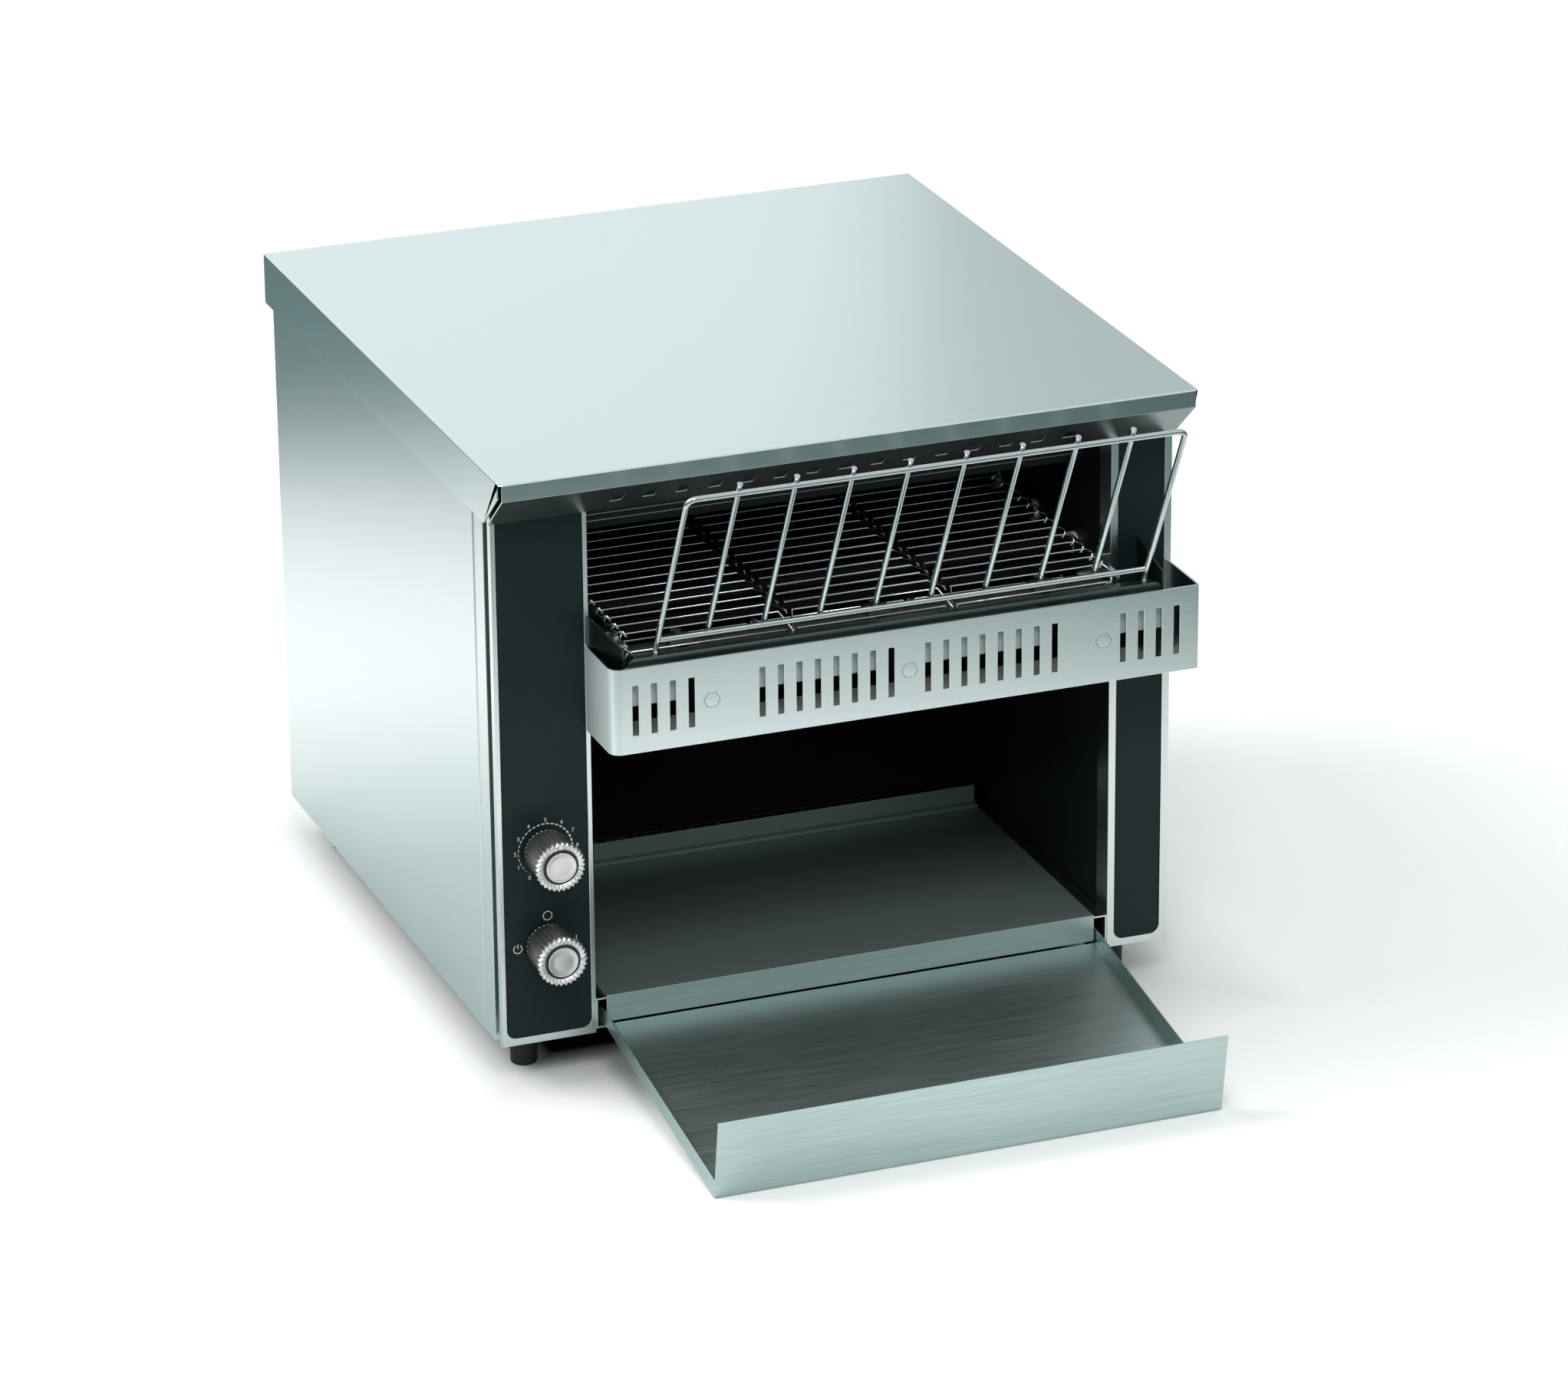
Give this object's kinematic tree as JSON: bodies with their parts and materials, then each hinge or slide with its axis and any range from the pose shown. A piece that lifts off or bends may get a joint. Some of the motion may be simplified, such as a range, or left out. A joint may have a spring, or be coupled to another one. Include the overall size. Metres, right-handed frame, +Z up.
{
  "type": "conveyor toaster",
  "caption": "Counter-top conveyor toaster: wire belt between heating elements, wire bread rack, slotted belt guard, two dials, toast slide and pull-out trays.",
  "frame": {"origin": "on the counter, under the middle of the whole outline, trays in place", "axes": "+Z up; the front with the feed opening and trays looks along -Y; +X to the right seen from the front"},
  "size_m": [0.368, 0.526, 0.3353],
  "materials": {
    "stainless_shell": "fine brushed stainless steel",
    "stainless_tray": "fine brushed stainless steel",
    "tray_steel": "satin steel, slightly darkened",
    "base_steel": "plain galvanised sheet",
    "black_panel": "semi-gloss black",
    "dark_steel": "heat-darkened steel",
    "reflector": "bright rolled aluminised sheet",
    "mineral_wool": "fibrous mat",
    "chrome_wire": "polished chromed wire",
    "belt_wire": "drawn stainless wire, dulled by heat",
    "machined_steel": "turned and ground steel",
    "bush_bronze": "sintered bronze",
    "element_sheath": "dark drawn tube",
    "ceramic": "glazed ceramic",
    "motor_case": "zinc plated steel",
    "control_plastic": "moulded black",
    "knob_metal": "satin metallised",
    "circuit_board": "solder resist",
    "terminal_plastic": "moulded ivory",
    "thermostat_metal": "pressed cap",
    "wire_insulation": "sleeved wires",
    "foot_rubber": "moulded black rubber",
    "zinc_screws": "zinc plated"
  },
  "bodies": {
    "housing": {"top_cover": "stainless_shell", "side_panel_left": "stainless_shell", "side_panel_right": "stainless_shell", "rear_panel": "stainless_shell", "front_frame_left": "stainless_shell", "front_frame_right": "stainless_shell", "header_bar": "stainless_shell", "tray_runners": "stainless_shell", "belt_guard": "stainless_shell", "guard_studs": "stainless_shell", "idler_brackets": "stainless_shell", "base_pan": "base_steel", "motor_bracket": "base_steel", "control_panel": "black_panel", "side_trim_panel": "black_panel", "chamber_wall_left": "dark_steel", "chamber_wall_right": "dark_steel", "element_guard": "dark_steel", "cavity_ceiling": "dark_steel", "rear_deflector": "dark_steel", "toast_slide": "dark_steel", "trough_rail": "dark_steel", "trough_ends": "dark_steel", "upper_reflector": "reflector", "lower_reflector": "reflector", "top_insulation": "mineral_wool", "conveyor_belt": "belt_wire", "drive_chain": "machined_steel", "drive_bushes": "bush_bronze", "upper_elements": "element_sheath", "lower_elements": "element_sheath", "element_insulators": "ceramic", "gear_motor": "motor_case", "speed_control": "control_plastic", "selector_switch": "control_plastic", "heater_relay": "control_plastic", "fan_frame": "control_plastic", "cord_gland": "control_plastic", "control_board": "circuit_board", "terminal_block": "terminal_plastic", "safety_thermostat": "thermostat_metal", "wiring_loom": "wire_insulation", "rubber_feet": "foot_rubber", "foot_screws": "zinc_screws", "cover_screws": "zinc_screws", "rear_screws": "zinc_screws"},
    "drive": {"drive_shaft": "machined_steel", "drive_sprockets": "machined_steel", "shaft_sprocket": "machined_steel"},
    "idler": {"idler_shaft": "machined_steel", "idler_sprockets": "machined_steel"},
    "motor_output": {"motor_sprocket": "machined_steel"},
    "fan": {"fan_rotor": "control_plastic"},
    "speed_dial": {"speed_knob": "knob_metal", "speed_spindle": "machined_steel"},
    "selector_dial": {"selector_knob": "knob_metal", "selector_spindle": "machined_steel"},
    "rack": {"bread_rack": "chrome_wire"},
    "crumb_tray": {"discharge_tray": "tray_steel"},
    "outfeed_tray": {"catch_tray": "stainless_tray"}
  },
  "joints": [
    {"name": "drive_spin", "type": "hinge", "parent": "housing", "child": "drive", "pos_m": [0, 0.19975, 0.2289], "axis": [1, 0, 0], "continuous": true},
    {"name": "idler_spin", "type": "hinge", "parent": "housing", "child": "idler", "pos_m": [0, -0.11345, 0.2289], "axis": [1, 0, 0], "continuous": true},
    {"name": "motor_spin", "type": "hinge", "parent": "housing", "child": "motor_output", "pos_m": [-0.15, 0.14375, 0.1169], "axis": [1, 0, 0], "continuous": true},
    {"name": "fan_spin", "type": "hinge", "parent": "housing", "child": "fan", "pos_m": [-0.04, 0.24155, 0.076], "axis": [0, 1, 0], "continuous": true},
    {"name": "speed_knob_turn", "type": "hinge", "parent": "housing", "child": "speed_dial", "pos_m": [-0.15615, -0.11045, 0.1255], "axis": [0, 1, 0], "range_deg": [-147, 89]},
    {"name": "selector_turn", "type": "hinge", "parent": "housing", "child": "selector_dial", "pos_m": [-0.15615, -0.11045, 0.0745], "axis": [0, 1, 0], "range_deg": [-180, 0]},
    {"name": "rack_lift", "type": "slide", "parent": "housing", "child": "rack", "axis": [0, 0, 1], "range_m": [0, 0.05]},
    {"name": "crumb_tray_pull", "type": "slide", "parent": "housing", "child": "crumb_tray", "axis": [0, -1, 0], "range_m": [0, 0.13]},
    {"name": "outfeed_tray_pull", "type": "slide", "parent": "housing", "child": "outfeed_tray", "axis": [0, -1, 0], "range_m": [0, 0.05]}
  ],
  "couplings": [
    {"joint": "idler_spin", "follows": "drive_spin", "ratio": 1},
    {"joint": "motor_spin", "follows": "drive_spin", "ratio": 2}
  ]
}
